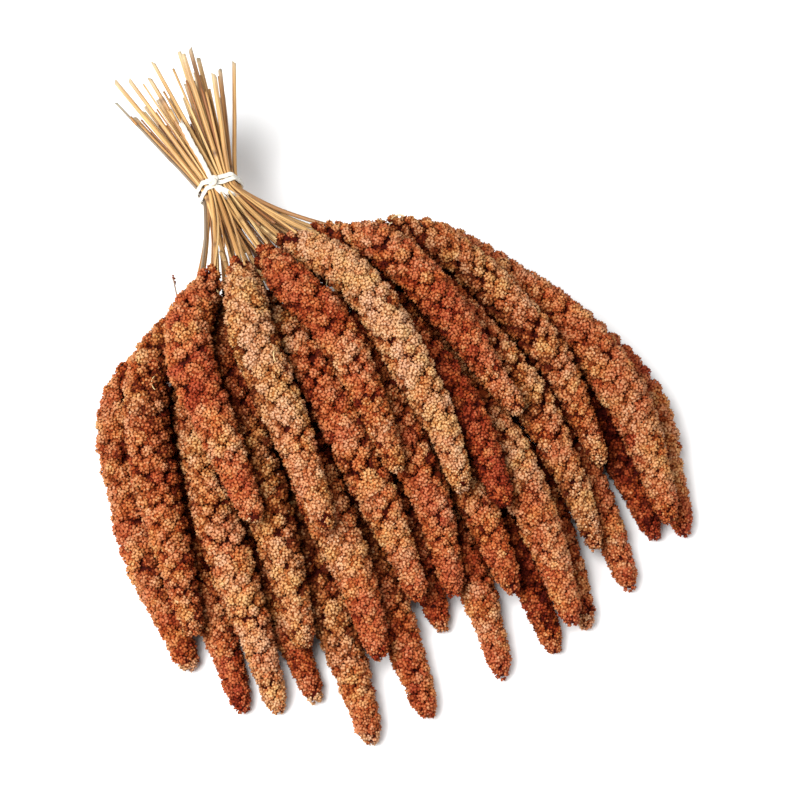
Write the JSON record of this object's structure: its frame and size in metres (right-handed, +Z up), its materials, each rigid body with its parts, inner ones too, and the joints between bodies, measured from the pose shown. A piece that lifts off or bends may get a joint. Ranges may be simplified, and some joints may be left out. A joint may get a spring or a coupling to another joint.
{
  "type": "bunch of foxtail millet heads",
  "caption": "Tied bunch of dried foxtail millet lying down: long drooping seed heads fan out from straw stems held by a knotted string, for dried arrangements.",
  "frame": {"origin": "middle of the base, in the plane that the lowest heads lie on", "axes": "+Z up, +Y along the bunch toward the cut stem ends, with the heads fanning out toward -Y"},
  "size_m": [0.3032, 0.419, 0.0934],
  "materials": {
    "seed_head": "matte, rough dried seed clusters, rust-red to straw-brown",
    "straw": "dried straw, smooth with a slight sheen",
    "string": "soft matte white cotton string"
  },
  "bodies": {
    "root": {"head_01": "seed_head", "head_02": "seed_head", "head_03": "seed_head", "head_04": "seed_head", "head_05": "seed_head", "head_06": "seed_head", "head_07": "seed_head", "head_08": "seed_head", "head_09": "seed_head", "head_10": "seed_head", "head_11": "seed_head", "head_12": "seed_head", "head_13": "seed_head", "head_14": "seed_head", "head_15": "seed_head", "head_16": "seed_head", "head_17": "seed_head", "head_18": "seed_head", "head_19": "seed_head", "head_20": "seed_head", "head_21": "seed_head", "head_22": "seed_head", "head_23": "seed_head", "head_24": "seed_head", "head_25": "seed_head", "head_26": "seed_head", "head_27": "seed_head", "head_28": "seed_head", "head_29": "seed_head", "stem_01": "straw", "stem_02": "straw", "stem_03": "straw", "stem_04": "straw", "stem_05": "straw", "stem_06": "straw", "stem_07": "straw", "stem_08": "straw", "stem_09": "straw", "stem_10": "straw", "stem_11": "straw", "stem_12": "straw", "stem_13": "straw", "stem_14": "straw", "stem_15": "straw", "stem_16": "straw", "stem_17": "straw", "stem_18": "straw", "stem_19": "straw", "stem_20": "straw", "stem_21": "straw", "stem_22": "straw", "stem_23": "straw", "stem_24": "straw", "stem_25": "straw", "stem_26": "straw", "stem_27": "straw", "stem_28": "straw", "stem_29": "straw", "string": "string"}
  },
  "joints": []
}
